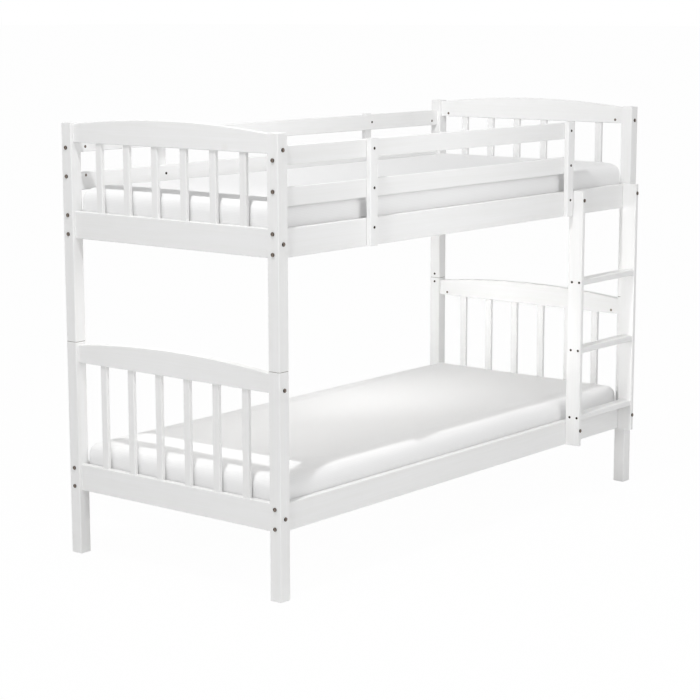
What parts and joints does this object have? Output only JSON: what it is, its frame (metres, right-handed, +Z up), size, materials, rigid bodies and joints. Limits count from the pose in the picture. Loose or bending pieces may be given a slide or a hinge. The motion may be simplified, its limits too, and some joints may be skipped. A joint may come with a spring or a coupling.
{
  "type": "bunk bed",
  "caption": "White painted pine bunk bed with arched spindle ends, guard boards round the upper bed, a bolted upright ladder at one end and a mattress on each slatted base.",
  "frame": {"origin": "on the floor, at the middle of the whole bed's length and depth, ladder and bolt heads included", "axes": "+X along the bed towards the ladder end, +Y from the ladder side to the back, +Z up"},
  "size_m": [2.086, 1.003, 1.4779],
  "materials": {
    "white_pine": "satin white lacquer over faint grain",
    "bare_pine": "planed bare pine",
    "bronzed_steel": "dark bronze plating",
    "zinc_steel": "zinc",
    "mattress_cover": "white woven cotton"
  },
  "bodies": {
    "frame": {"back_guard_left_upright": "white_pine", "back_guard_lower_board": "white_pine", "back_guard_right_upright": "white_pine", "back_guard_top_board": "white_pine", "back_left_lower_post": "white_pine", "back_left_upper_post": "white_pine", "back_right_lower_post": "white_pine", "back_right_upper_post": "white_pine", "end_rail_barrel_nuts": "bronzed_steel", "end_rail_bolts": "bronzed_steel", "front_guard_left_upright": "white_pine", "front_guard_lower_board": "white_pine", "front_guard_right_upright": "white_pine", "front_guard_top_board": "white_pine", "front_left_lower_post": "white_pine", "front_left_upper_post": "white_pine", "front_right_lower_post": "white_pine", "front_right_upper_post": "white_pine", "guard_barrel_nuts": "bronzed_steel", "guard_bolts": "bronzed_steel", "ladder_bolts": "bronzed_steel", "ladder_bottom_rung": "white_pine", "ladder_left_stile": "white_pine", "ladder_middle_rung": "white_pine", "ladder_right_stile": "white_pine", "ladder_top_rung": "white_pine", "left_lower_arched_rail": "white_pine", "left_lower_bottom_rail": "white_pine", "left_lower_spindles": "white_pine", "left_upper_arched_rail": "white_pine", "left_upper_bottom_rail": "white_pine", "left_upper_spindles": "white_pine", "lower_back_side_rail": "white_pine", "lower_back_slat_cleat": "bare_pine", "lower_front_side_rail": "white_pine", "lower_front_slat_cleat": "bare_pine", "lower_slats": "bare_pine", "post_dowels": "zinc_steel", "right_lower_arched_rail": "white_pine", "right_lower_bottom_rail": "white_pine", "right_lower_spindles": "white_pine", "right_upper_arched_rail": "white_pine", "right_upper_bottom_rail": "white_pine", "right_upper_spindles": "white_pine", "side_rail_barrel_nuts": "bronzed_steel", "side_rail_bolts": "bronzed_steel", "upper_back_side_rail": "white_pine", "upper_back_slat_cleat": "bare_pine", "upper_front_side_rail": "white_pine", "upper_front_slat_cleat": "bare_pine", "upper_slats": "bare_pine"},
    "upper_mattress_body": {"upper_mattress": "mattress_cover"},
    "lower_mattress_body": {"lower_mattress": "mattress_cover"}
  },
  "joints": [
    {"name": "upper_mattress_lift", "type": "slide", "parent": "frame", "child": "upper_mattress_body", "axis": [0, 0, 1], "range_m": [0, 0.3]},
    {"name": "lower_mattress_lift", "type": "slide", "parent": "frame", "child": "lower_mattress_body", "axis": [0, 0, 1], "range_m": [0, 0.1]}
  ]
}
